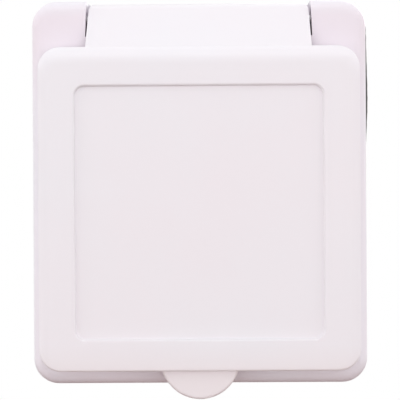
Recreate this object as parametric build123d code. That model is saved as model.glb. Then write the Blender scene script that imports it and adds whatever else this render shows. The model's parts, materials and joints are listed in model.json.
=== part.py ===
from build123d import *
import math
import os

# Locking power inlet, millimetres.
# X is right, Z is up and Y runs into the wall.
# The origin is the socket axis where it meets the wall.

# Flange
flange_width = 105.0
flange_top = 65.35
flange_bottom = -54.95
flange_corner_radius = 8.0
flange_edge_radius = 4.0
flange_depth = 14.0
moulding_wall = 2.5
rib_thickness = 1.6
rib_spacing = 20.0

# Gasket between flange and wall
gasket_thickness = 2.0
gasket_shift = 0.62
gasket_drop = 0.2
gasket_turn = 0.35

# Wall screws
wall_screw_spacing_x = 81.0
wall_screw_spacing_z = 81.0
wall_screw_hole_radius = 2.5
wall_screw_boss_radius = 5.0

# Socket well and the tube behind the wall
tube_radius = 33.0
tube_wall = 2.0
tube_end = 38.0
tube_front_step = 0.6
well_step = 2.5
collar_wall = 3.0
collar_height = 4.0
well_floor = 14.0

# Lid
lid_width = 99.2
lid_height = 100.2
lid_depth = 9.7
lid_corner_radius = 6.8
lid_wall = 2.6
lid_crown_radius = 6.0
lid_edge_radius = 0.6
lid_crown_top = 5.2
lid_crown_side = 3.0
lid_crown_bottom = 1.2
lid_gap = 0.3
recess_width = 76.6
recess_height = 78.1
recess_depth = 1.1
recess_rim_radius = 0.7
recess_floor_radius = 0.3
recess_radius = 3.0
recess_drop = 1.25

# Thumb tab
tab_radius = 12.2
tab_drop = 3.4
tab_thickness = 2.6
tab_setback = 1.8
tab_edge_radius = 0.8

# Hinge
hinge_y = -9.8
hinge_z = 59.5
barrel_radius = 5.1
tongue_width_low = 70.1
tongue_width_high = 69.0
tongue_thickness = 2.4
tongue_root_y = -23.2
tongue_root_drop = 0.2
tongue_end_chamfer = 1.0
notch_gap = 0.5
notch_floor_thickness = 2.0
notch_floor_rise = 5.2
notch_bottom = 53.9
pin_radius = 1.5
pin_length = 84.0
pin_clearance = 0.06
pin_boss_radius = 4.0
lid_open_angle = 115.0

# Lid spring
spring_wire_radius = 0.45
spring_mean_radius = 3.0
spring_turns = 9.5
spring_pitch = 2.0
spring_leg = 7.4
spring_tang = 6.5
spring_hole_radius = 0.55
spring_bay_half = 13.0
spring_bay_radius = 3.8
spring_bay_reach = 11.0

# Lid seal
seal_overlap = 0.3
seal_width = 3.8
seal_lip_height = 1.6
seal_keeper_width = 1.2
seal_keeper_height = 2.0

# Blade carrier
carrier_thickness = 8.0
carrier_clearance = 0.15
carrier_boss_inset = 2.5
carrier_centre_radius = 8.0
barrier_inner = 9.0
barrier_outer = 26.0
barrier_height = 7.0
carrier_boss_radius = 3.4

# Blades
blade_circle_radius = 12.7
blade_thickness = 1.6
blade_reach = 18.0
line_blade_width = 10.5
neutral_blade_width = 12.5
ground_blade_width = 11.0
ground_hook = 3.2
slot_clearance = 0.05

# Terminals
lug_thickness = 1.6
lug_width = 9.0
lug_length = 12.0
terminal_screw_offset = 6.2
terminal_screw_radius = 2.0
terminal_head_radius = 3.6
terminal_head_height = 2.4
clamp_plate_size = 8.4
clamp_plate_thickness = 1.2
wire_space = 2.4

# Rear cover
cover_plate = 3.0
cover_edge_step = 0.5
cover_gasket_thickness = 1.0
cover_wall = 2.5
cover_dome_step = 8.5
cover_dome_height = 5.0
cover_cone_height = 9.0
cover_spigot_clearance = 0.3
cover_spigot_wall = 2.1
cover_screw_radius = 1.5
cover_screw_head_radius = 2.8
cover_screw_head_height = 2.0
cover_screw_length = 14.0

# Cable gland
cable_radius = 8.0
neck_radius = 14.0
neck_length = 13.0
gland_pocket_radius = 11.6
gland_seal_height = 7.0
gland_washer_thickness = 1.0
nut_across_flats = 36.0
nut_end_wall = 3.0
nut_clearance = 0.1

# Common running and seating gap
fit_gap = 0.05

# Derived positions along Y
flange_rear = -gasket_thickness
flange_front = flange_rear - flange_depth
collar_front = flange_front - collar_height
lid_rear = flange_front - lid_gap
lid_front = lid_rear - lid_depth
lid_inside = lid_front + lid_wall
carrier_rear = well_floor + carrier_thickness
cover_front = tube_end + cover_gasket_thickness
cover_rear = cover_front + cover_plate
dome_rear = cover_rear + cover_dome_height
neck_front = dome_rear + cover_cone_height
neck_rear = neck_front + neck_length

# Derived sizes
flange_height = flange_top - flange_bottom
flange_mid = (flange_top + flange_bottom) / 2
tube_inner_radius = tube_radius - tube_wall
tube_front_radius = tube_radius - tube_front_step
well_radius = tube_inner_radius - well_step
collar_radius = well_radius + collar_wall
seal_inner_radius = well_radius - seal_overlap
seal_outer_radius = seal_inner_radius + seal_width
carrier_boss_x = tube_inner_radius - carrier_boss_inset
cover_radius = tube_radius - cover_edge_step
cover_dome_radius = tube_radius - cover_dome_step
notch_half_low = tongue_width_low / 2 + notch_gap
notch_half_high = tongue_width_high / 2 + notch_gap
spigot_radius = tube_inner_radius - cover_spigot_clearance
tab_front = lid_front + tab_setback
gland_seal_front = neck_rear - gland_washer_thickness - gland_seal_height
spring_start = -spring_turns * spring_pitch / 2

def plate(sketch, y_front, y_rear):
    """Extrude a front-view sketch between two depths."""
    return extrude(Plane.XZ.offset(-y_rear) * sketch, y_rear - y_front)


def rod(radius, y_front, y_rear, x=0.0, z=0.0):
    """Round bar along Y."""
    return plate(Pos(x, z) * Circle(radius), y_front, y_rear)


def bar(radius, x_from, x_to, y, z):
    """Round bar along X."""
    return extrude(Plane.YZ.offset(x_from) * (Pos(y, z) * Circle(radius)), x_to - x_from)


def side_cut(points, x_from, x_to):
    """Side-view polygon (y, z) extruded along X."""
    outline = make_face(Polyline(*points, close=True))
    return extrude(Plane.YZ.offset(x_from) * outline, x_to - x_from)


def slab(x_from, x_to, y_from, y_to, z_from, z_to):
    """Rectangular block between six limits."""
    block = Box(x_to - x_from, y_to - y_from, z_to - z_from)
    return Pos((x_from + x_to) / 2, (y_from + y_to) / 2, (z_from + z_to) / 2) * block


def turned(points):
    """Revolve a (radius, y) profile about the socket axis."""
    outline = make_face(Polyline(*points, close=True))
    return revolve(Plane.XY * outline, Axis.Y)


def front_edges(solid, y, tolerance=0.05):
    """Edges that lie wholly in the plane at depth y."""
    chosen = []
    for edge in solid.edges():
        box = edge.bounding_box()
        if abs(box.min.Y - y) < tolerance and abs(box.max.Y - y) < tolerance:
            chosen.append(edge)
    return ShapeList(chosen)


def polar(radius, degrees):
    """Point on a circle in the front view."""
    turn = math.radians(degrees)
    return (radius * math.cos(turn), radius * math.sin(turn))


def sector(inner, outer, width, degrees):
    """Ring sector of a given chord width centred on an angle."""
    half = math.degrees(math.asin(width / 2 / ((inner + outer) / 2)))
    start = degrees - half
    end = degrees + half
    outer_arc = ThreePointArc(polar(outer, start), polar(outer, degrees), polar(outer, end))
    inner_arc = ThreePointArc(polar(inner, end), polar(inner, degrees), polar(inner, start))
    first = Line(polar(outer, end), polar(inner, end))
    last = Line(polar(inner, start), polar(outer, start))
    return make_face(outer_arc + first + inner_arc + last)


# Tongue line: from the lid's top edge tangent to the barrel
root_z = lid_height / 2 - tongue_root_drop
to_axis = math.atan2(hinge_z - root_z, hinge_y - tongue_root_y)
axis_distance = math.hypot(hinge_y - tongue_root_y, hinge_z - root_z)
tongue_angle = to_axis + math.asin(barrel_radius / axis_distance)
tongue_dir = (math.cos(tongue_angle), math.sin(tongue_angle))
tongue_out = (-math.sin(tongue_angle), math.cos(tongue_angle))


def tongue_point(along, out):
    """Point measured from the hinge axis along and out of the tongue."""
    y = hinge_y + along * tongue_dir[0] + out * tongue_out[0]
    z = hinge_z + along * tongue_dir[1] + out * tongue_out[1]
    return (y, z)


def wall_screw_points():
    """Front-view centres of the four wall screws."""
    half_x = wall_screw_spacing_x / 2
    half_z = wall_screw_spacing_z / 2
    return [(half_x, half_z), (-half_x, half_z), (-half_x, -half_z), (half_x, -half_z)]


def flange_outline(inset):
    """Flange outline moved inwards by a distance."""
    radius = flange_corner_radius - inset
    shape = RectangleRounded(flange_width - 2 * inset, flange_height - 2 * inset, radius)
    return Pos(0, flange_mid) * shape


def notch_outline(extra):
    """Front-view outline of the hinge notch, made larger by a distance."""
    low = notch_half_low + extra
    high = notch_half_high + extra
    bottom = notch_bottom - extra
    top = flange_top + 5
    points = [(-low, bottom), (low, bottom), (high, top), (-high, top)]
    return make_face(Polyline(*points, close=True))


# Front housing
def make_flange_housing():
    envelope = plate(flange_outline(0), flange_front, flange_rear)
    envelope = fillet(front_edges(envelope, flange_front), flange_edge_radius)
    inner_front = flange_front + moulding_wall
    body = envelope - plate(flange_outline(moulding_wall), inner_front, flange_rear + 1)

    # Box round the notch, kept inside the flange
    box = plate(notch_outline(moulding_wall), flange_front + 0.5, flange_rear)
    body += box & envelope

    # Bosses and ribs
    for x, z in wall_screw_points():
        body += rod(wall_screw_boss_radius, inner_front - 0.5, flange_rear, x, z)
    side = flange_width / 2 - moulding_wall / 2
    low = flange_bottom + moulding_wall / 2
    half = rib_thickness / 2
    rib_rear = flange_rear - 1.0
    for place in (-rib_spacing, 0.0, rib_spacing):
        body += slab(-side, side, inner_front - 0.5, rib_rear, place - half, place + half)
        body += slab(place - half, place + half, inner_front - 0.5, rib_rear, low, notch_bottom - 1)

    # Pin seats behind the notch walls
    reach = pin_length / 2 + 1.5
    for side in (-1, 1):
        low, high = sorted((side * (notch_half_high - 0.5), side * reach))
        body += bar(pin_boss_radius, low, high, hinge_y, hinge_z)
        body += slab(low, high, hinge_y, flange_rear, hinge_z - 3.2, hinge_z + 3.2)

    # Hollow of the notch; its floor stays below the barrel's top
    floor_front = flange_rear - notch_floor_thickness
    body -= plate(notch_outline(0), flange_front - 1, floor_front)
    above = hinge_z + notch_floor_rise
    body -= slab(-notch_half_high, notch_half_high, floor_front - 1, flange_rear + 1, above, flange_top + 5)
    leg_y = hinge_y - spring_mean_radius
    lean = spring_pitch / (2 * math.pi * spring_mean_radius)
    leg_x = spring_start - lean * (hinge_z - notch_bottom + 1.0)
    body -= Pos(leg_x, leg_y, notch_bottom - 1.0) * Cylinder(spring_hole_radius + 0.2, 6.0)

    # Pin bore with snap slots open to the rear
    body -= bar(pin_radius + pin_clearance, -pin_length / 2 - 0.2, pin_length / 2 + 0.2, hinge_y, hinge_z)
    slot_half = pin_radius - 0.2
    for side in (-1, 1):
        low, high = sorted((side * notch_half_low, side * (pin_length / 2 + 0.2)))
        body -= slab(low, high, hinge_y, flange_rear + 1, hinge_z - slot_half, hinge_z + slot_half)

    # Tube, collar and well
    body += rod(tube_front_radius, flange_front + 0.5, 0.5)
    body += rod(tube_radius, 0, tube_end)
    body += rod(collar_radius, collar_front, flange_front + 1)
    body -= rod(well_radius, collar_front - 1, well_floor + 1)
    body -= rod(tube_inner_radius, well_floor, tube_end + 1)
    for side in (-1, 1):
        boss = rod(carrier_boss_radius, well_floor - 0.5, tube_end, side * carrier_boss_x)
        body += boss & rod(tube_radius - 0.5, well_floor - 1, tube_end)
        bottom = cover_rear - cover_screw_length - 0.5
        body -= rod(cover_screw_radius + fit_gap, bottom, tube_end + 1, side * carrier_boss_x)

    # Wall screw holes
    for x, z in wall_screw_points():
        body -= rod(wall_screw_hole_radius, flange_front - 1, flange_rear + 1, x, z)
    return body


# Lid
def make_lid():
    corner = lid_corner_radius + lid_crown_side
    crown_width = lid_width + 2 * (lid_crown_radius - lid_crown_side)
    crown_top = lid_height / 2 + lid_crown_radius - lid_crown_top
    crown_bottom = -lid_height / 2 - lid_crown_radius + lid_crown_bottom
    crown_shape = RectangleRounded(crown_width, crown_top - crown_bottom, corner)
    crown = plate(Pos(0, (crown_top + crown_bottom) / 2) * crown_shape, lid_front, lid_rear)
    crown = fillet(front_edges(crown, lid_front), lid_crown_radius)
    outline = RectangleRounded(lid_width, lid_height, lid_corner_radius)
    body = crown & plate(outline, lid_front, lid_rear)
    edges = []
    for edge in body.edges():
        box = edge.bounding_box()
        if box.max.Y < lid_rear - 0.5 and is_wall_edge(edge):
            edges.append(edge)
    body = fillet(ShapeList(edges), lid_edge_radius)

    # Recessed panel
    recess = Pos(0, -recess_drop) * RectangleRounded(recess_width, recess_height, recess_radius)
    body -= plate(recess, lid_front - 1, lid_front + recess_depth)
    body = fillet(recess_edges(body, lid_front + recess_depth), recess_floor_radius)
    body = fillet(recess_edges(body, lid_front), recess_rim_radius)

    # Inside of the shell
    inner_width = lid_width - 2 * lid_wall
    inner_height = lid_height - 2 * lid_wall
    inner = RectangleRounded(inner_width, inner_height, lid_corner_radius - lid_wall)
    body -= plate(inner, lid_inside + recess_depth, lid_rear + 1)

    # Keeper rings for the seal
    keeper_front = lid_inside + recess_depth
    for inside, outside in (
        (seal_inner_radius - fit_gap - seal_keeper_width, seal_inner_radius - fit_gap),
        (seal_outer_radius + fit_gap, seal_outer_radius + fit_gap + seal_keeper_width),
    ):
        ring = Circle(outside) - Circle(inside)
        body += plate(ring, keeper_front - 0.3, keeper_front + seal_keeper_height)

    # Stiffening ribs in the corners
    for degrees in (45, 135, 225, 315):
        start = polar(seal_outer_radius + 0.8, degrees)
        end = polar(lid_width / 2 * 1.22, degrees)
        middle = ((start[0] + end[0]) / 2, (start[1] + end[1]) / 2)
        length = math.hypot(end[0] - start[0], end[1] - start[1])
        rib = Pos(*middle) * Rot(0, 0, degrees) * Rectangle(length, rib_thickness)
        body += plate(rib, keeper_front - 0.3, keeper_front + seal_keeper_height)

    # Thumb tab
    tab_z = -lid_height / 2 + tab_drop
    tab = plate(Pos(0, tab_z) * Circle(tab_radius), tab_front, tab_front + tab_thickness)
    tab = fillet(tab.edges(), tab_edge_radius)
    keep = slab(-lid_width, lid_width, lid_front, lid_rear, -lid_height, -lid_height / 2 + lid_wall / 2)
    body += tab & keep

    # Tongue and barrel
    body += make_tongue()
    body -= bar(pin_radius + pin_clearance, -lid_width / 2, lid_width / 2, hinge_y, hinge_z)
    tang_end = -spring_start + spring_tang + 0.4
    body -= bar(spring_hole_radius, spring_bay_half - 1, tang_end, hinge_y + spring_mean_radius, hinge_z)
    return body


def recess_edges(body, y):
    """Edges of the recess that lie at one depth."""
    found = []
    for edge in front_edges(body, y):
        point = edge.position_at(0.5)
        inside_x = abs(point.X) < recess_width / 2 + 0.5
        inside_z = abs(point.Z + recess_drop) < recess_height / 2 + 0.5
        if inside_x and inside_z:
            found.append(edge)
    return ShapeList(found)


def is_wall_edge(edge):
    """True for an edge whose middle lies on the lid's plan outline."""
    point = edge.position_at(0.5)
    half_x = lid_width / 2
    half_z = lid_height / 2
    radius = lid_corner_radius
    x = abs(point.X)
    z = abs(point.Z)
    if x <= half_x - radius:
        return abs(z - half_z) < 0.02
    if z <= half_z - radius:
        return abs(x - half_x) < 0.02
    reach = math.hypot(x - half_x + radius, z - half_z + radius)
    return abs(reach - radius) < 0.02


def make_tongue():
    """Sloping tongue with the hinge barrel and the bay for the spring."""
    root = -axis_distance * math.cos(math.asin(barrel_radius / axis_distance))
    top = tongue_point(0, barrel_radius)
    low = tongue_point(root, barrel_radius)
    low_in = tongue_point(root + 0.6, barrel_radius - tongue_thickness)
    end_in = tongue_point(0, barrel_radius - tongue_thickness)
    skin = side_cut([top, low, low_in, end_in], -tongue_width_low / 2, tongue_width_low / 2)
    barrel = bar(barrel_radius, -tongue_width_low / 2, tongue_width_low / 2, hinge_y, hinge_z)
    tongue = skin + barrel

    # Sides drawn in towards the top
    low_half = tongue_width_low / 2
    high_half = tongue_width_high / 2
    top_z = hinge_z + barrel_radius
    cut = tongue_end_chamfer
    right = [(low_half, root_z - 3), (low_half, root_z)]
    right += [(high_half, top_z - 2 * cut), (high_half - cut, top_z + 0.1)]
    left = [(-x, z) for x, z in reversed(right)]
    edge = make_face(Polyline(*right, *left, close=True))
    tongue &= plate(edge, lid_front, 0)

    # Spring bay, open behind
    bay = bar(spring_bay_radius, -spring_bay_half, spring_bay_half, hinge_y, hinge_z)
    near = tongue_point(0, spring_bay_radius)
    far = tongue_point(-spring_bay_reach, spring_bay_radius)
    back = [(0, far[1]), (0, flange_top + 5), (hinge_y - 0.5, flange_top + 5), (hinge_y - 0.5, hinge_z)]
    bay += side_cut([near, far] + back, -spring_bay_half, spring_bay_half)
    return tongue - bay


def make_lid_seal():
    ring = Circle(seal_outer_radius) - Circle(seal_inner_radius)
    base = lid_inside + recess_depth
    body = plate(ring, base, collar_front - lid_gap)
    return fillet(front_edges(body, collar_front - lid_gap), 0.6)


# Hinge parts
def make_hinge_pin():
    pin = bar(pin_radius, -pin_length / 2, pin_length / 2, hinge_y, hinge_z)
    return chamfer(pin.edges().filter_by(GeomType.CIRCLE), 0.3)


def make_lid_spring():
    """Torsion coil round the pin: a leg down to the notch, a tang into the knuckle."""
    frame = Plane(origin=(spring_start, hinge_y, hinge_z), x_dir=(0, -1, 0), z_dir=(1, 0, 0))
    coil = frame * Helix(spring_pitch, spring_turns * spring_pitch, spring_mean_radius, lefthand=True)
    leg = Line(coil @ 0 - (coil % 0) * spring_leg, coil @ 0)
    path = Wire([leg.edge(), coil.edge()])
    section = Plane(origin=path @ 0, z_dir=path % 0) * Circle(spring_wire_radius)
    body = sweep(section, path=path, is_frenet=True)
    end = coil @ 1
    tang = bar(spring_wire_radius - 0.02, end.X - 0.3, end.X + spring_tang, end.Y, end.Z - 0.05)
    return body + tang


# Wall gasket
def make_panel_gasket():
    shape = Pos(gasket_shift, -gasket_drop) * Rot(0, 0, -gasket_turn) * flange_outline(0)
    shape -= Circle(tube_radius + 0.4)
    for x, z in wall_screw_points():
        shape -= Pos(x, z) * Circle(wall_screw_hole_radius)
    above = hinge_z + notch_floor_rise
    gap = Pos(0, above + flange_top / 2) * Rectangle(2 * notch_half_high, flange_top)
    shape -= gap
    return plate(shape, flange_rear, 0)


# Blade carrier
def make_blade_carrier():
    outer = tube_inner_radius - carrier_clearance
    body = rod(outer, well_floor, carrier_rear)
    body = chamfer(front_edges(body, well_floor), 0.6)
    relief = carrier_boss_radius + carrier_clearance
    for side in (-1, 1):
        body -= rod(relief, well_floor - 1, carrier_rear + 1, side * carrier_boss_x)
        low, high = sorted((side * carrier_boss_x, side * tube_radius))
        body -= slab(low, high, well_floor - 1, carrier_rear + 1, -relief, relief)

    # Raised centre and blade slots
    body += rod(carrier_centre_radius, well_floor - 1.2, well_floor + 1)
    for maker in (line_sketch, neutral_sketch, ground_sketch):
        body -= plate(maker(slot_clearance), well_floor - 2, carrier_rear + 1)
    for degrees in BLADE_ANGLES:
        x, z = polar(blade_circle_radius + terminal_screw_offset, degrees)
        body -= rod(terminal_screw_radius + fit_gap, well_floor + 2, carrier_rear + 1, x, z)

    # Barriers between the terminals
    for degrees in (30, 150, 270):
        middle = polar((barrier_inner + barrier_outer) / 2, degrees)
        fin = Pos(*middle) * Rot(0, 0, degrees) * Rectangle(barrier_outer - barrier_inner, rib_thickness)
        body += plate(fin, carrier_rear - 0.5, carrier_rear + barrier_height)
    return body


BLADE_ANGLES = (90, 210, 330)


def grown_sector(width, degrees, grow):
    """Blade section made larger all round by a clearance."""
    inner = blade_circle_radius - blade_thickness / 2 - grow
    outer = blade_circle_radius + blade_thickness / 2 + grow
    return sector(inner, outer, width + 2 * grow, degrees)


def line_sketch(grow=0.0):
    return grown_sector(line_blade_width, BLADE_ANGLES[2], grow)


def neutral_sketch(grow=0.0):
    return grown_sector(neutral_blade_width, BLADE_ANGLES[1], grow)


def ground_sketch(grow=0.0):
    shape = grown_sector(ground_blade_width, BLADE_ANGLES[0], grow)
    half = math.degrees(math.asin(ground_blade_width / 2 / blade_circle_radius))
    x, z = polar(blade_circle_radius, BLADE_ANGLES[0] - half)
    hook_low = z - ground_hook
    width = blade_thickness + 2 * grow
    hook = Rectangle(width, z - hook_low + grow)
    hook = Pos(x - blade_thickness / 2, (z + hook_low) / 2 - grow / 2) * hook
    return shape + hook


def make_blade(sketch, degrees):
    """Curved blade with its terminal lug behind the carrier."""
    tip = well_floor - blade_reach
    body = plate(sketch, tip, carrier_rear + lug_thickness)
    body = chamfer(front_edges(body, tip), 0.4)
    lug = Pos(blade_circle_radius + lug_length / 2, 0) * Rectangle(lug_length, lug_width)
    body += plate(Rot(0, 0, degrees) * lug, carrier_rear, carrier_rear + lug_thickness)
    x, z = polar(blade_circle_radius + terminal_screw_offset, degrees)
    return body - rod(terminal_screw_radius + fit_gap, carrier_rear - 1, carrier_rear + 4, x, z)


def make_terminal_screw(degrees):
    x, z = polar(blade_circle_radius + terminal_screw_offset, degrees)
    under = carrier_rear + lug_thickness + wire_space + clamp_plate_thickness
    head = rod(terminal_head_radius, under, under + terminal_head_height, x, z)
    head = fillet(front_edges(head, under + terminal_head_height), 0.5)
    shank = rod(terminal_screw_radius, well_floor + 3, under + 0.2, x, z)
    body = head + shank
    top = under + terminal_head_height
    for turn in (0, 90):
        slot = Pos(x, z) * Rot(0, 0, degrees + turn) * Rectangle(4.6, 0.9)
        body -= plate(slot, top - 1.2, top + 1)
    return body


def make_clamp_plate(degrees):
    x, z = polar(blade_circle_radius + terminal_screw_offset, degrees)
    shape = Pos(x, z) * Rot(0, 0, degrees) * RectangleRounded(clamp_plate_size, clamp_plate_size, 0.8)
    shape -= Pos(x, z) * Circle(terminal_screw_radius + fit_gap)
    front = carrier_rear + lug_thickness + wire_space
    return plate(shape, front, front + clamp_plate_thickness)


# Rear cover
def make_cover_gasket():
    shape = Circle(cover_radius) - Circle(spigot_radius + 0.1)
    for side in (-1, 1):
        shape += (Pos(side * carrier_boss_x, 0) * Circle(carrier_boss_radius)) & Circle(cover_radius)
        shape -= Pos(side * carrier_boss_x, 0) * Circle(cover_screw_radius + fit_gap)
    return plate(shape, tube_end, cover_front)


def make_rear_cover():
    outer = turned([
        (0, cover_front), (cover_radius, cover_front), (cover_radius, cover_rear),
        (cover_dome_radius, cover_rear), (cover_dome_radius, dome_rear),
        (neck_radius, neck_front), (neck_radius, neck_rear), (0, neck_rear)])
    slope = math.atan2(cover_dome_radius - neck_radius, cover_cone_height)
    shift = cover_wall / math.cos(slope) - cover_wall * math.tan(slope)
    inner = turned([
        (0, cover_front - 1), (cover_dome_radius - cover_wall, cover_front - 1),
        (cover_dome_radius - cover_wall, dome_rear - shift / 2),
        (cable_radius, neck_front - shift / 2), (cable_radius, neck_rear + 1), (0, neck_rear + 1)])
    pocket = rod(gland_pocket_radius, gland_seal_front, neck_rear + 1)
    body = outer - inner - pocket

    # Spigot that holds the carrier against its step
    spigot = Circle(spigot_radius) - Circle(spigot_radius - cover_spigot_wall)
    spigot = plate(spigot, carrier_rear + fit_gap, cover_front + 0.5)
    for side in (-1, 1):
        low, high = sorted((side * cover_dome_radius, side * (tube_radius + 1)))
        width = carrier_boss_radius + 0.4
        spigot -= slab(low, high, carrier_rear - 1, cover_front, -width, width)
    body += spigot
    for side in (-1, 1):
        body -= rod(cover_screw_radius + fit_gap, cover_front - 1, cover_rear + 1, side * carrier_boss_x)
    return body


def make_rear_cover_screws():
    screws = []
    for side in (-1, 1):
        x = side * carrier_boss_x
        head = rod(cover_screw_head_radius, cover_rear, cover_rear + cover_screw_head_height, x)
        head = fillet(front_edges(head, cover_rear + cover_screw_head_height), 0.6)
        shank = rod(cover_screw_radius, cover_rear - cover_screw_length, cover_rear + 0.2, x)
        shank = chamfer(front_edges(shank, cover_rear - cover_screw_length), 0.5)
        body = head + shank
        top = cover_rear + cover_screw_head_height
        for turn in (0, 90):
            body -= plate(Pos(x, 0) * Rot(0, 0, turn) * Rectangle(3.6, 0.8), top - 1.0, top + 1)
        screws.append(body)
    return Compound(children=screws)


# Cable gland
def make_gland_seal():
    ring = Circle(gland_pocket_radius - fit_gap) - Circle(cable_radius)
    body = plate(ring, gland_seal_front, gland_seal_front + gland_seal_height)
    return body


def make_gland_washer():
    ring = Circle(gland_pocket_radius - fit_gap) - Circle(cable_radius)
    front = gland_seal_front + gland_seal_height
    return plate(ring, front, front + gland_washer_thickness)


def make_gland_nut():
    front = neck_front + 2.0
    rear = neck_rear + nut_end_wall + nut_clearance
    hexagon = RegularPolygon(nut_across_flats / 2, 6, major_radius=False)
    body = plate(hexagon, front, rear)
    trim = turned([
        (0, front - 1), (nut_across_flats / 2 - 0.6, front - 1), (nut_across_flats / 2 + 3.4, front + 2.2),
        (nut_across_flats / 2 + 3.4, rear - 2.2), (nut_across_flats / 2 - 0.6, rear + 0.1),
        (0, rear + 0.1)])
    body &= trim
    body -= rod(neck_radius + nut_clearance, front - 1, neck_rear + nut_clearance)
    body -= rod(cable_radius, front, rear + 1)
    return body


NODES = {
    "flange_housing": make_flange_housing,
    "lid": make_lid,
    "lid_seal": make_lid_seal,
    "hinge_pin": make_hinge_pin,
    "lid_spring": make_lid_spring,
    "panel_gasket": make_panel_gasket,
    "blade_carrier": make_blade_carrier,
    "line_blade": lambda: make_blade(line_sketch(), BLADE_ANGLES[2]),
    "neutral_blade": lambda: make_blade(neutral_sketch(), BLADE_ANGLES[1]),
    "ground_blade": lambda: make_blade(ground_sketch(), BLADE_ANGLES[0]),
    "line_terminal_screw": lambda: make_terminal_screw(BLADE_ANGLES[2]),
    "neutral_terminal_screw": lambda: make_terminal_screw(BLADE_ANGLES[1]),
    "ground_terminal_screw": lambda: make_terminal_screw(BLADE_ANGLES[0]),
    "line_clamp_plate": lambda: make_clamp_plate(BLADE_ANGLES[2]),
    "neutral_clamp_plate": lambda: make_clamp_plate(BLADE_ANGLES[1]),
    "ground_clamp_plate": lambda: make_clamp_plate(BLADE_ANGLES[0]),
    "cover_gasket": make_cover_gasket,
    "rear_cover": make_rear_cover,
    "rear_cover_screws": make_rear_cover_screws,
    "gland_seal": make_gland_seal,
    "gland_washer": make_gland_washer,
    "gland_nut": make_gland_nut,
}

os.makedirs("parts", exist_ok=True)
for node_name, maker in NODES.items():
    export_step(maker(), f"parts/{node_name}.step")
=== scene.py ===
import json
import math
import bpy
from mathutils import Matrix, Vector


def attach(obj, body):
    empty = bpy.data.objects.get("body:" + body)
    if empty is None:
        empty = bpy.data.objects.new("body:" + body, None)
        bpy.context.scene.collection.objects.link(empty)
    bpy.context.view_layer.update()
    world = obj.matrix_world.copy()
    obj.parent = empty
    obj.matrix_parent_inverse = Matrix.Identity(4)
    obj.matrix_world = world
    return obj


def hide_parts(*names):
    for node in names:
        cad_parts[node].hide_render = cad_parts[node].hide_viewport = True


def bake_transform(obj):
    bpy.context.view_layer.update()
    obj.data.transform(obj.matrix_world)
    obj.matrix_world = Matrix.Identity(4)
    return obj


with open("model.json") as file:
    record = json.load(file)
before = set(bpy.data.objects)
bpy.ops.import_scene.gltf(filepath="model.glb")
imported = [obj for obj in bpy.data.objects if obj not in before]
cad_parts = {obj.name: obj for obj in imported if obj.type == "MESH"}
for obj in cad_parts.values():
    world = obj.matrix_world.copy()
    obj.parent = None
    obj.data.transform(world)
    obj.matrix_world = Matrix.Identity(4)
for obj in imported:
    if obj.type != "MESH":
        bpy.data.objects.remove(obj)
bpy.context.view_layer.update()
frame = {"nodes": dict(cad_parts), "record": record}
nodes = frame["nodes"]

# Shapes are given in millimetres of the shared frame, materials, lamps and camera in metres
MM = 0.001
TURN_STEPS = 36  # points on a full turn of a coil

# Hinge axis
HINGE_Y = -9.8
HINGE_Z = 59.5

# Torsion spring
SPRING_TURNS = 9.5
SPRING_PITCH = 2.0
SPRING_RADIUS = 3.0
SPRING_WIRE = 0.45
SPRING_FOOT = 7.4  # leg that goes down into the housing
SPRING_FOOT_STEPS = 12
SPRING_BEND = 0.5  # radius of the turn from the coil into the arm
SPRING_BEND_STEPS = 6
SPRING_ARM = 5.5  # leg that goes sideways into the lid's knuckle
SPRING_ARM_STEPS = 5

# Thread ridge on the exposed end of the gland's neck
THREAD_TURNS = 2.5
THREAD_RADIUS = 13.85
THREAD_START = 56.25
THREAD_PITCH = 0.6
THREAD_WIRE = 0.28
THREAD_SIDES = 8

# Foam of the wall gasket squeezed out beside the upper right screw
BULGE_LOW = 16.0
BULGE_HIGH = 58.0
BULGE_STEPS = 64
BULGE_SIDES = 8
BULGE_RISE = (17.0, 32.0)  # heights between which it comes out
BULGE_FADE = (52.0, 38.0)  # heights between which its first half goes back
BULGE_END = (57.5, 55.0)  # heights between which the rest goes back
BULGE_ROOT = 52.0  # x where it starts, under the flange
BULGE_EDGE = 53.3  # x of its edge where nothing squeezes it
BULGE_REACH = 0.68  # how far it comes out past that edge
BULGE_RIPPLES = ((0.03, 1.3, 0.0), (0.02, 2.9, 1.0))  # size, radians per millimetre, phase
BULGE_MIDDLE = -1.0  # y of its middle
BULGE_HALF = 0.92  # half its thickness

# Texture cells per metre, and strength and depth of the relief
CLOUD_CELLS = 14.0
WEAR_CELLS = 90.0
PEEL_CELLS = 420.0
PEEL_DEPTH = 0.0002
GRAIN_CELLS = 2600.0
GRAIN_DEPTH = 0.00005
DUST_CELLS = 60.0
SPONGE_STRENGTH = 0.35
SPONGE_DEPTH = 0.0002
TARNISH_CELLS = 240.0
BRUSH_CELLS = 1500.0
BRUSH_STRENGTH = 0.08
BRUSH_DEPTH = 0.0001
PLASTIC_IOR = 1.49
RUBBER_IOR = 1.52

# Floor and world
FLOOR_Z = -0.70
FLOOR_RADIUS = 3.0
FLOOR_SIDES = 96
FLOOR_COLOUR = (0.245, 0.15, 0.135)
FLOOR_ROUGHNESS = 0.9
FLOOR_GLOW = 1.1
FLOOR_GLOW_SHARE = 0.85  # the rest of what the camera sees is the lit floor with its shadow
WHITE = (1.0, 1.0, 1.0)
SKY_ABOVE = 0.78
SKY_BELOW = 2.0
SKY_FADE = (-0.1, 0.4)  # height of the view direction over which the sky goes from below to above

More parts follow.
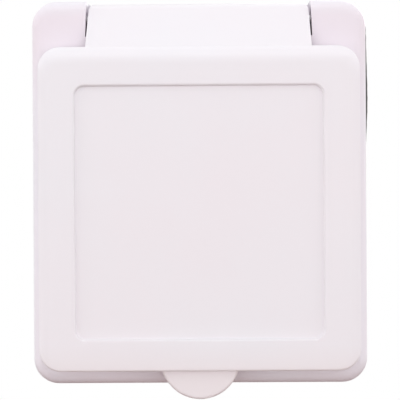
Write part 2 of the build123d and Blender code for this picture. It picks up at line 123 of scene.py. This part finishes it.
# Lamps: name, place, target, width, height, power in watts
LAMPS = (
    ("top_soft", (0.0, 0.25, 1.15), (0.0, 0.0, 0.0), 1.2, 0.5, 1.4),
    ("left_soft", (-0.90, -0.34, -0.28), (0.0, 0.0, 0.0), 0.4, 0.4, 0.95),
    ("right_soft", (0.90, -0.34, -0.28), (0.0, 0.0, 0.0), 0.4, 0.4, 0.7),
    ("high_soft", (0.0, -0.75, 1.15), (0.0, 0.0, 0.0), 1.1, 0.5, 1.8),
    ("front_soft", (0.0, -3.2, 0.0), (0.0, 0.0, 0.0), 2.0, 1.2, 3.0),
    ("back_soft", (0.6, 1.3, 0.7), (0.0, 0.03, 0.0), 1.0, 1.0, 8.0),
)

# Camera
CAMERA_TARGET = (0.0001, -0.012, 0.00255)
CAMERA_DISTANCE = 0.550
CAMERA_YAW = 0.6  # degrees
CAMERA_ROLL = -0.35  # degrees
CAMERA_SENSOR = 36.0
CAMERA_LENS = 157.0
CAMERA_CLIP = (0.01, 20.0)


# Node helpers
def feed(tree, socket, value):
    """Link another node's output to the socket, or set the socket's own value."""
    if isinstance(value, bpy.types.NodeSocket):
        tree.links.new(value, socket)
    else:
        socket.default_value = value


def new_material(name):
    material = bpy.data.materials.new(name)
    material.use_nodes = True
    tree = material.node_tree
    tree.nodes.clear()
    out = tree.nodes.new("ShaderNodeOutputMaterial")
    shader = tree.nodes.new("ShaderNodeBsdfPrincipled")
    tree.links.new(shader.outputs["BSDF"], out.inputs["Surface"])
    return material, tree, shader


def coordinates(tree, stretch=(1.0, 1.0, 1.0)):
    source = tree.nodes.new("ShaderNodeTexCoord")
    mapping = tree.nodes.new("ShaderNodeMapping")
    mapping.inputs["Scale"].default_value = stretch
    tree.links.new(source.outputs["Object"], mapping.inputs["Vector"])
    return mapping.outputs["Vector"]


def height_of(tree, vector):
    split = tree.nodes.new("ShaderNodeSeparateXYZ")
    tree.links.new(vector, split.inputs["Vector"])
    return split.outputs["Z"]


def noise(tree, vector, scale, detail=3.0, roughness=0.5):
    node = tree.nodes.new("ShaderNodeTexNoise")
    node.inputs["Scale"].default_value = scale
    node.inputs["Detail"].default_value = detail
    node.inputs["Roughness"].default_value = roughness
    tree.links.new(vector, node.inputs["Vector"])
    return node.outputs["Fac"]


def spread(tree, value, low, high, from_low=0.3, from_high=0.7):
    node = tree.nodes.new("ShaderNodeMapRange")
    node.inputs["From Min"].default_value = from_low
    node.inputs["From Max"].default_value = from_high
    node.inputs["To Min"].default_value = low
    node.inputs["To Max"].default_value = high
    tree.links.new(value, node.inputs["Value"])
    return node.outputs["Result"]


def calculate(tree, operation, first, second):
    node = tree.nodes.new("ShaderNodeMath")
    node.operation = operation
    feed(tree, node.inputs[0], first)
    feed(tree, node.inputs[1], second)
    return node.outputs[0]


def blend_colour(tree, factor, first, second):
    """Mix two colours, of which the first may be another node's output."""
    node = tree.nodes.new("ShaderNodeMix")
    node.data_type = "RGBA"
    tree.links.new(factor, node.inputs[0])
    feed(tree, node.inputs[6], (*first, 1.0) if isinstance(first, tuple) else first)
    node.inputs[7].default_value = (*second, 1.0)
    return node.outputs[2]


def bump(tree, height, strength, distance, before=None):
    node = tree.nodes.new("ShaderNodeBump")
    node.inputs["Strength"].default_value = strength
    node.inputs["Distance"].default_value = distance
    tree.links.new(height, node.inputs["Height"])
    if before is not None:
        tree.links.new(before, node.inputs["Normal"])
    return node.outputs["Normal"]


def mix_shaders(tree, factor, first, second, out):
    node = tree.nodes.new("ShaderNodeMixShader")
    tree.links.new(factor, node.inputs["Fac"])
    tree.links.new(first, node.inputs[1])
    tree.links.new(second, node.inputs[2])
    tree.links.new(node.outputs["Shader"], out.inputs["Surface"])


def linear(red, green, blue):
    """Linear colour from display levels of 0 to 255."""
    out = []
    for value in (red, green, blue):
        value = value / 255.0
        out.append(value / 12.92 if value <= 0.04045 else ((value + 0.055) / 1.055) ** 2.4)
    return tuple(out)


# Materials
def moulded_plastic(name, colour, second, rough, peel=0.05, fine=0.05, painted_shade=None):
    """Moulded plastic: faint cloudy colour, orange peel and fine grain.

    A patch is painted shade: a colour and pairs of heights in metres, between which it comes in.
    """
    material, tree, shader = new_material(name)
    place = coordinates(tree)
    cloud = noise(tree, place, CLOUD_CELLS, detail=4.0, roughness=0.55)
    tone = blend_colour(tree, spread(tree, cloud, 0.0, 1.0), colour, second)
    # Painted shade: blend the tone towards the shade colour between the given heights
    if painted_shade is not None:
        painted_shade_colour, heights = painted_shade
        height = height_of(tree, place)
        share = None
        for start, end in heights:
            ramp = spread(tree, height, 0.0, 1.0, start, end)
            share = ramp if share is None else calculate(tree, "MULTIPLY", share, ramp)
        tone = blend_colour(tree, share, tone, painted_shade_colour)
    tree.links.new(tone, shader.inputs["Base Color"])
    wear = noise(tree, place, WEAR_CELLS, detail=5.0, roughness=0.6)
    tree.links.new(spread(tree, wear, rough - 0.035, rough + 0.05), shader.inputs["Roughness"])
    skin = bump(tree, noise(tree, place, PEEL_CELLS, detail=2.0), peel, PEEL_DEPTH)
    grain = bump(tree, noise(tree, place, GRAIN_CELLS, detail=2.0), fine, GRAIN_DEPTH, skin)
    tree.links.new(grain, shader.inputs["Normal"])
    shader.inputs["IOR"].default_value = PLASTIC_IOR
    return material


def rubber(name, colour, second, rough, cells=1800.0):
    """Rubber or foam: dusty tone and a spongy grain."""
    material, tree, shader = new_material(name)
    place = coordinates(tree)
    dust = noise(tree, place, DUST_CELLS, detail=6.0, roughness=0.65)
    tone = blend_colour(tree, spread(tree, dust, 0.0, 1.0), colour, second)
    tree.links.new(tone, shader.inputs["Base Color"])
    tree.links.new(spread(tree, dust, rough - 0.08, rough + 0.08), shader.inputs["Roughness"])
    sponge = noise(tree, place, cells, detail=3.0, roughness=0.6)
    grain = bump(tree, sponge, SPONGE_STRENGTH, SPONGE_DEPTH)
    tree.links.new(grain, shader.inputs["Normal"])
    shader.inputs["IOR"].default_value = RUBBER_IOR
    return material


def metal(name, colour, second, rough, stretch=(1.0, 1.0, 1.0)):
    """Metal: faint tarnish and fine lines along the axis that the stretch makes small."""
    material, tree, shader = new_material(name)
    place = coordinates(tree, stretch)
    tarnish = noise(tree, place, TARNISH_CELLS, detail=4.0, roughness=0.6)
    tone = blend_colour(tree, spread(tree, tarnish, 0.0, 1.0), colour, second)
    tree.links.new(tone, shader.inputs["Base Color"])
    shader.inputs["Metallic"].default_value = 1.0
    brushed = noise(tree, place, BRUSH_CELLS, detail=3.0, roughness=0.7)
    tree.links.new(spread(tree, brushed, rough - 0.06, rough + 0.1), shader.inputs["Roughness"])
    tree.links.new(bump(tree, brushed, BRUSH_STRENGTH, BRUSH_DEPTH), shader.inputs["Normal"])
    return material


# Stretch of the brushed lines
ALONG_X = (0.12, 1.0, 1.0)
ALONG_Y = (1.0, 0.12, 1.0)

LID_WHITE = linear(234, 232, 237)
LID_WARM = linear(236, 230, 235)
# Painted shade colour of the thumb tab under the lid
LID_TAB_PAINTED_SHADE = linear(233, 225, 228)
HOUSING_WHITE = linear(231, 229, 236)
HOUSING_WARM = linear(234, 227, 234)
# Painted shade colour of the flange's corner blocks beside the tongue
HOUSING_BLOCKS_PAINTED_SHADE = linear(232, 223, 231)
# Painted shade: the thumb tab and the flange's corner blocks are tinted darker and warmer where the lid
# and the tongue shade them
# Painted shade on the thumb tab: comes in from 42 to 52 mm below the middle
THUMB_TAB_PAINTED_SHADE = (LID_TAB_PAINTED_SHADE, ((-0.042, -0.052),))
# Painted shade on the corner blocks: comes in from 30 to 52 mm high and goes out from 60 to 64.5 mm
BLOCKS_PAINTED_SHADE = (HOUSING_BLOCKS_PAINTED_SHADE, ((0.030, 0.052), (0.0645, 0.060)))

# Slot, maker, two colours that it blends, roughness, and what else the maker takes
MATERIALS = {name: make(name, *values) for name, make, *values in (
    ("housing_plastic", moulded_plastic, HOUSING_WHITE, HOUSING_WARM, 0.34, 0.05, 0.05, BLOCKS_PAINTED_SHADE),
    ("lid_plastic", moulded_plastic, LID_WHITE, LID_WARM, 0.32, 0.05, 0.05, THUMB_TAB_PAINTED_SHADE),
    ("seal_rubber", rubber, (0.016, 0.016, 0.017), (0.028, 0.027, 0.027), 0.55),
    ("gasket_edge", rubber, (0.075, 0.075, 0.077), (0.12, 0.12, 0.122), 0.9, 1400.0),
    ("gasket_rubber", rubber, (0.006, 0.006, 0.006), (0.012, 0.012, 0.012), 0.8, 1400.0),
    ("stainless", metal, (0.60, 0.60, 0.61), (0.68, 0.68, 0.69), 0.24, ALONG_X),
    ("spring_steel", metal, (0.50, 0.50, 0.51), (0.60, 0.60, 0.60), 0.28),
    ("carrier_plastic", moulded_plastic, (0.014, 0.014, 0.015), (0.02, 0.02, 0.021), 0.38, 0.08, 0.15),
    ("blade_brass", metal, (0.78, 0.58, 0.27), (0.83, 0.66, 0.36), 0.22, ALONG_Y),
    ("neutral_plate", metal, (0.70, 0.69, 0.66), (0.77, 0.76, 0.73), 0.2, ALONG_Y),
    ("zinc_steel", metal, (0.56, 0.57, 0.59), (0.68, 0.68, 0.66), 0.34),
    ("ground_screw_green", moulded_plastic, (0.02, 0.17, 0.06), (0.03, 0.22, 0.08), 0.3),
    ("cover_plastic", moulded_plastic, (0.018, 0.018, 0.019), (0.026, 0.026, 0.027), 0.42, 0.12, 0.3),
    ("nut_plastic", moulded_plastic, (0.02, 0.02, 0.021), (0.03, 0.03, 0.031), 0.4, 0.12, 0.3),
)}

for row in frame["record"]["subparts"]:
    made = nodes[row["node"]]
    made.data.materials.clear()
    made.data.materials.append(MATERIALS[row["material_slot"]])


# Shapes
def add_mesh(name, rings, faces, material):
    """Smooth object from rings of points in metres."""
    mesh = bpy.data.meshes.new(name)
    mesh.from_pydata([point for ring in rings for point in ring], [], faces)
    mesh.update()
    mesh.shade_smooth()
    mesh.materials.append(MATERIALS[material])
    made = bpy.data.objects.new(name, mesh)
    bpy.context.scene.collection.objects.link(made)
    return made


def wire_mesh(name, points, radius, material, sides=12):
    """Round wire through a list of points, all in millimetres."""
    points = [point * MM for point in points]
    radius = radius * MM
    rings = []
    for index, point in enumerate(points):
        after = points[min(index + 1, len(points) - 1)]
        before = points[max(index - 1, 0)]
        along = (after - before).normalized()
        side = along.cross(Vector((1.0, 0.0, 0.0)))
        if side.length < 1e-4:
            side = along.cross(Vector((0.0, 1.0, 0.0)))
        side.normalize()
        over = side.cross(along).normalized()
        ring = []
        for k in range(sides):
            turn = 2 * math.pi * k / sides
            ring.append(point + side * radius * math.cos(turn) + over * radius * math.sin(turn))
        rings.append(ring)
    faces = []
    for r in range(len(rings) - 1):
        for k in range(sides):
            a = r * sides + k
            b = r * sides + (k + 1) % sides
            faces.append((a, b, b + sides, a + sides))
    faces.append(tuple(range(sides - 1, -1, -1)))
    faces.append(tuple((len(rings) - 1) * sides + k for k in range(sides)))
    return add_mesh(name, rings, faces, material)


def make_spring():
    """Torsion spring round the pin, twisted by the lid."""
    start = -SPRING_TURNS * SPRING_PITCH / 2
    lean = SPRING_PITCH / (2 * math.pi * SPRING_RADIUS)
    points = []
    for step in range(SPRING_FOOT_STEPS):
        down = SPRING_FOOT * (1 - step / SPRING_FOOT_STEPS)
        points.append(Vector((start - lean * down, HINGE_Y - SPRING_RADIUS, HINGE_Z - down)))
    count = int(SPRING_TURNS * TURN_STEPS)
    for step in range(count + 1):
        turn = 2 * math.pi * SPRING_TURNS * step / count
        x = start + SPRING_PITCH * SPRING_TURNS * step / count
        y = HINGE_Y - SPRING_RADIUS * math.cos(turn)
        points.append(Vector((x, y, HINGE_Z + SPRING_RADIUS * math.sin(turn))))
    last = points[-1]
    for step in range(1, SPRING_BEND_STEPS + 1):
        bend = math.pi / 2 * step / SPRING_BEND_STEPS
        points.append(last + Vector((1 - math.cos(bend), 0, -math.sin(bend))) * SPRING_BEND)
    last = points[-1]
    for step in range(1, SPRING_ARM_STEPS + 1):
        points.append(last + Vector((SPRING_ARM * step / SPRING_ARM_STEPS, 0, 0)))
    spring = wire_mesh("lid_spring_wire", points, SPRING_WIRE, "spring_steel")
    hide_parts("lid_spring")
    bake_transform(spring)


def make_neck_thread():
    points = []
    for step in range(int(THREAD_TURNS * TURN_STEPS) + 1):
        turn = 2 * math.pi * step / TURN_STEPS
        x = THREAD_RADIUS * math.cos(turn)
        y = THREAD_START + THREAD_PITCH * step / TURN_STEPS
        points.append(Vector((x, y, THREAD_RADIUS * math.sin(turn))))
    thread = wire_mesh("gland_neck_thread", points, THREAD_WIRE, "cover_plastic", THREAD_SIDES)
    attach(thread, "housing")


def ease(value, heights):
    """0 to 1 as the value goes from the first height to the second."""
    start, end = heights
    return min(1.0, max(0.0, (value - start) / (end - start)))


def make_gasket_bulge():
    rings = []
    for step in range(BULGE_STEPS + 1):
        z = BULGE_LOW + (BULGE_HIGH - BULGE_LOW) * step / BULGE_STEPS
        share = ease(z, BULGE_RISE) * (0.5 * ease(z, BULGE_END) + 0.5 * ease(z, BULGE_FADE))
        ripple = sum(size * math.sin(z * rate + phase) for size, rate, phase in BULGE_RIPPLES)
        out = BULGE_EDGE + (BULGE_REACH + ripple) * share - BULGE_ROOT
        ring = []
        for k in range(BULGE_SIDES + 1):
            turn = math.pi * k / BULGE_SIDES - math.pi / 2
            y = BULGE_MIDDLE + BULGE_HALF * math.sin(turn)
            ring.append(Vector((BULGE_ROOT + out * math.cos(turn), y, z)) * MM)
        rings.append(ring)
    row = BULGE_SIDES + 1
    faces = []
    for r in range(BULGE_STEPS):
        for k in range(BULGE_SIDES):
            a = r * row + k
            faces.append((a, a + 1, a + row + 1, a + row))
    bulge = add_mesh("gasket_bulge", rings, faces, "gasket_edge")
    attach(bulge, "housing")


make_spring()
make_neck_thread()
make_gasket_bulge()


# Stage
def make_floor():
    """Pale floor, which the camera sees nearly white and the object as a warm tone from below."""
    bpy.ops.mesh.primitive_circle_add(
        vertices=FLOOR_SIDES, radius=FLOOR_RADIUS, fill_type="NGON", location=(0, 0, FLOOR_Z))
    floor = bpy.context.object
    floor.name = "floor"
    material, tree, shader = new_material("floor_pale")
    shader.inputs["Base Color"].default_value = (*FLOOR_COLOUR, 1.0)
    shader.inputs["Roughness"].default_value = FLOOR_ROUGHNESS
    light = tree.nodes.new("ShaderNodeLightPath")
    seen = calculate(tree, "MULTIPLY", light.outputs["Is Camera Ray"], FLOOR_GLOW_SHARE)
    glow = tree.nodes.new("ShaderNodeEmission")
    glow.inputs["Strength"].default_value = FLOOR_GLOW
    out = [n for n in tree.nodes if n.bl_idname == "ShaderNodeOutputMaterial"][0]
    mix_shaders(tree, seen, shader.outputs["BSDF"], glow.outputs["Emission"], out)
    floor.data.materials.append(material)


def make_world():
    """White to the camera and to gloss, and a soft sky that is brighter near the ground for the rest."""
    world = bpy.data.worlds.new("studio")
    bpy.context.scene.world = world
    world.use_nodes = True
    tree = world.node_tree
    tree.nodes.clear()
    out = tree.nodes.new("ShaderNodeOutputWorld")
    place = tree.nodes.new("ShaderNodeTexCoord")
    height = height_of(tree, place.outputs["Generated"])
    levels = []
    for strength in (spread(tree, height, SKY_BELOW, SKY_ABOVE, *SKY_FADE), 1.0):
        background = tree.nodes.new("ShaderNodeBackground")
        background.inputs["Color"].default_value = (*WHITE, 1.0)
        feed(tree, background.inputs["Strength"], strength)
        levels.append(background.outputs["Background"])
    light = tree.nodes.new("ShaderNodeLightPath")
    seen = calculate(tree, "MAXIMUM", light.outputs["Is Camera Ray"], light.outputs["Is Glossy Ray"])
    seen = calculate(tree, "MAXIMUM", seen, light.outputs["Is Transmission Ray"])
    mix_shaders(tree, seen, levels[0], levels[1], out)


def area_light(name, place, target, width, height, power):
    data = bpy.data.lights.new(name, "AREA")
    data.shape = "RECTANGLE"
    data.size = width
    data.size_y = height
    data.energy = power
    lamp = bpy.data.objects.new(name, data)
    bpy.context.scene.collection.objects.link(lamp)
    lamp.location = place
    lamp.rotation_mode = "QUATERNION"
    lamp.rotation_quaternion = (Vector(target) - Vector(place)).to_track_quat("-Z", "Y")


def make_camera():
    """Camera at the photograph's place."""
    data = bpy.data.cameras.new("camera")
    camera = bpy.data.objects.new("camera", data)
    bpy.context.scene.collection.objects.link(camera)
    target = Vector(CAMERA_TARGET)
    yaw = math.radians(CAMERA_YAW)
    place = target + Vector((math.sin(yaw), -math.cos(yaw), 0.0)) * CAMERA_DISTANCE
    roll = Matrix.Rotation(math.radians(CAMERA_ROLL), 4, "Z").to_quaternion()
    camera.location = place
    camera.rotation_mode = "QUATERNION"
    camera.rotation_quaternion = (target - place).to_track_quat("-Z", "Y") @ roll
    data.sensor_width = CAMERA_SENSOR
    data.lens = CAMERA_LENS
    data.clip_start, data.clip_end = CAMERA_CLIP
    bpy.context.scene.camera = camera


make_floor()
make_world()
for lamp in LAMPS:
    area_light(*lamp)
make_camera()

bpy.context.scene.view_settings.view_transform = "Standard"
